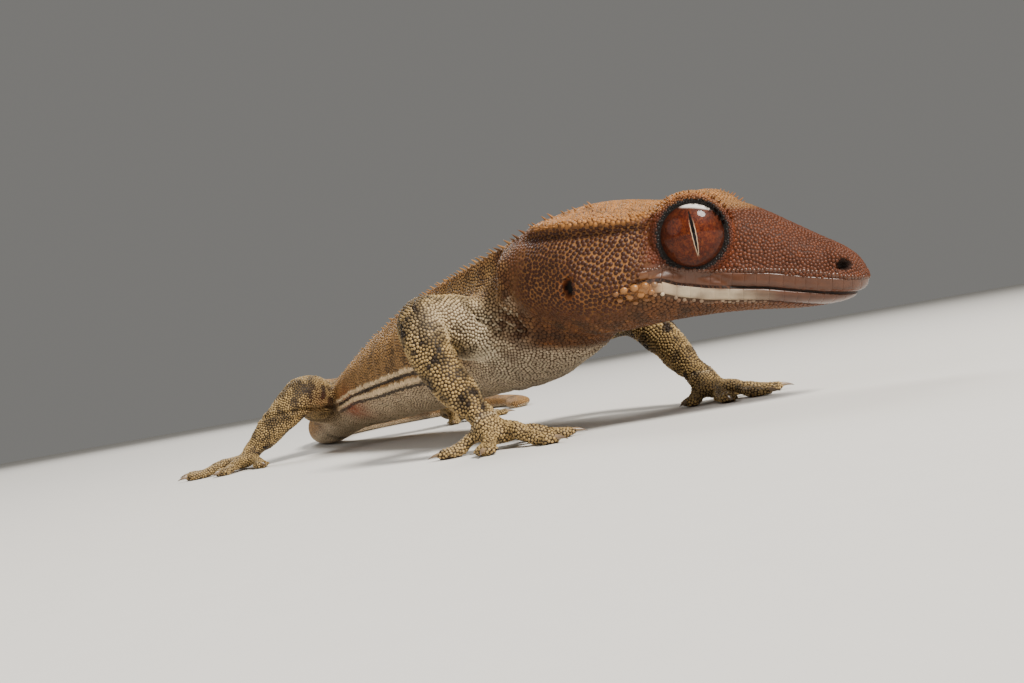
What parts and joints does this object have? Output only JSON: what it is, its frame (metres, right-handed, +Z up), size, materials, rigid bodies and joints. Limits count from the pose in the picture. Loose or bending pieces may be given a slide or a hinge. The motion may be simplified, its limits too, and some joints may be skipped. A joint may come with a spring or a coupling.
{
  "type": "crested gecko model",
  "caption": "Life-size still model of a crested gecko standing on all fours, head raised and turned to its left, tail curled on the floor.",
  "frame": {"origin": "on the floor under the middle of the bounding box", "axes": "+X along the trunk towards the head, +Y towards the animal's left, +Z up"},
  "size_m": [0.1432, 0.0808, 0.0249],
  "materials": {
    "skin": "matt granular lizard skin, reddish brown above, grey beige on the limbs",
    "eye": "clear gloss over a copper red iris with a black slit pupil"
  },
  "bodies": {
    "root": {"eye_left": "eye", "eye_right": "eye", "forefoot_left": "skin", "forefoot_right": "skin", "foreleg_left_lower": "skin", "foreleg_left_upper": "skin", "foreleg_right_lower": "skin", "foreleg_right_upper": "skin", "head": "skin", "hind_foot_left": "skin", "hind_foot_right": "skin", "hind_leg_left_lower": "skin", "hind_leg_left_upper": "skin", "hind_leg_right_lower": "skin", "hind_leg_right_upper": "skin", "neck": "skin", "tail_base": "skin", "tail_middle": "skin", "tail_tip": "skin", "torso": "skin"}
  },
  "joints": []
}
